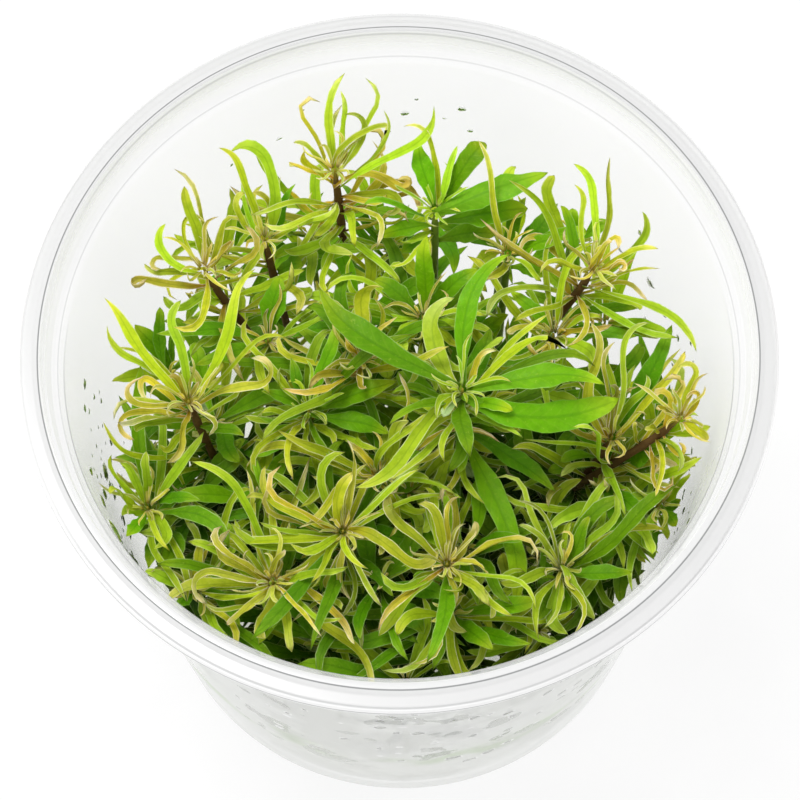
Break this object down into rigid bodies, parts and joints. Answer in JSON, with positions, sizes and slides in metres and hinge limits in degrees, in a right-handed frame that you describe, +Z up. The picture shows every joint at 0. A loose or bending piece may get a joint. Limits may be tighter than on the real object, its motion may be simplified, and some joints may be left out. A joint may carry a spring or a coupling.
{
  "type": "aquarium plant in a tissue culture cup",
  "caption": "Open, clear, tapered cup with a layer of clear gel, from which slender leafy stems rise close together nearly to the rim.",
  "frame": {"origin": "centre of the cup's foot, on the surface that it stands on", "axes": "+Z up along the cup's axis; -Y towards the side that the picture was taken from; +X to the right as seen from there"},
  "size_m": [0.1, 0.1, 0.0833],
  "materials": {
    "clear_plastic": "clear, faintly milky moulded polypropylene",
    "clear_gel": "clear, faintly yellow growing gel",
    "leaf_green": "satin leaf, bright green",
    "leaf_olive": "satin leaf, yellow green with pale edges and tan tips"
  },
  "bodies": {
    "root": {"cup": "clear_plastic", "gel": "clear_gel", "shoot_left_back": "leaf_olive", "shoot_back_left": "leaf_olive", "shoot_back_green": "leaf_green", "shoot_back_centre": "leaf_olive", "shoot_back_right": "leaf_green", "shoot_right_back": "leaf_olive", "shoot_right": "leaf_olive", "shoot_right_inner": "leaf_olive", "shoot_left": "leaf_olive", "shoot_centre_broad": "leaf_green", "shoot_near_centre": "leaf_olive", "shoot_near_left": "leaf_olive", "shoot_near_right": "leaf_olive", "shoot_centre_left": "leaf_green", "shoot_centre_back": "leaf_green", "shoot_centre_tan": "leaf_olive", "shoot_centre_olive": "leaf_olive", "shoot_left_green": "leaf_green", "shoot_right_green": "leaf_green", "shoot_near_far_right": "leaf_green", "shoot_wall_left": "leaf_green", "shoot_near_far_left": "leaf_green", "shoot_wall_right": "leaf_green", "small_shoot_01": "leaf_green", "small_shoot_02": "leaf_green", "small_shoot_03": "leaf_green", "small_shoot_04": "leaf_green", "small_shoot_05": "leaf_green", "small_shoot_06": "leaf_green", "small_shoot_07": "leaf_green", "small_shoot_08": "leaf_green", "small_shoot_09": "leaf_green", "small_shoot_10": "leaf_green", "small_shoot_11": "leaf_green", "small_shoot_12": "leaf_green", "small_shoot_13": "leaf_green", "small_shoot_14": "leaf_green", "small_shoot_15": "leaf_green", "small_shoot_16": "leaf_green", "small_shoot_17": "leaf_green", "small_shoot_18": "leaf_green", "small_shoot_19": "leaf_green", "small_shoot_20": "leaf_green", "small_shoot_21": "leaf_green", "small_shoot_22": "leaf_green", "small_shoot_23": "leaf_green", "small_shoot_24": "leaf_green", "small_shoot_25": "leaf_green", "small_shoot_26": "leaf_green", "small_shoot_27": "leaf_green"}
  },
  "joints": []
}
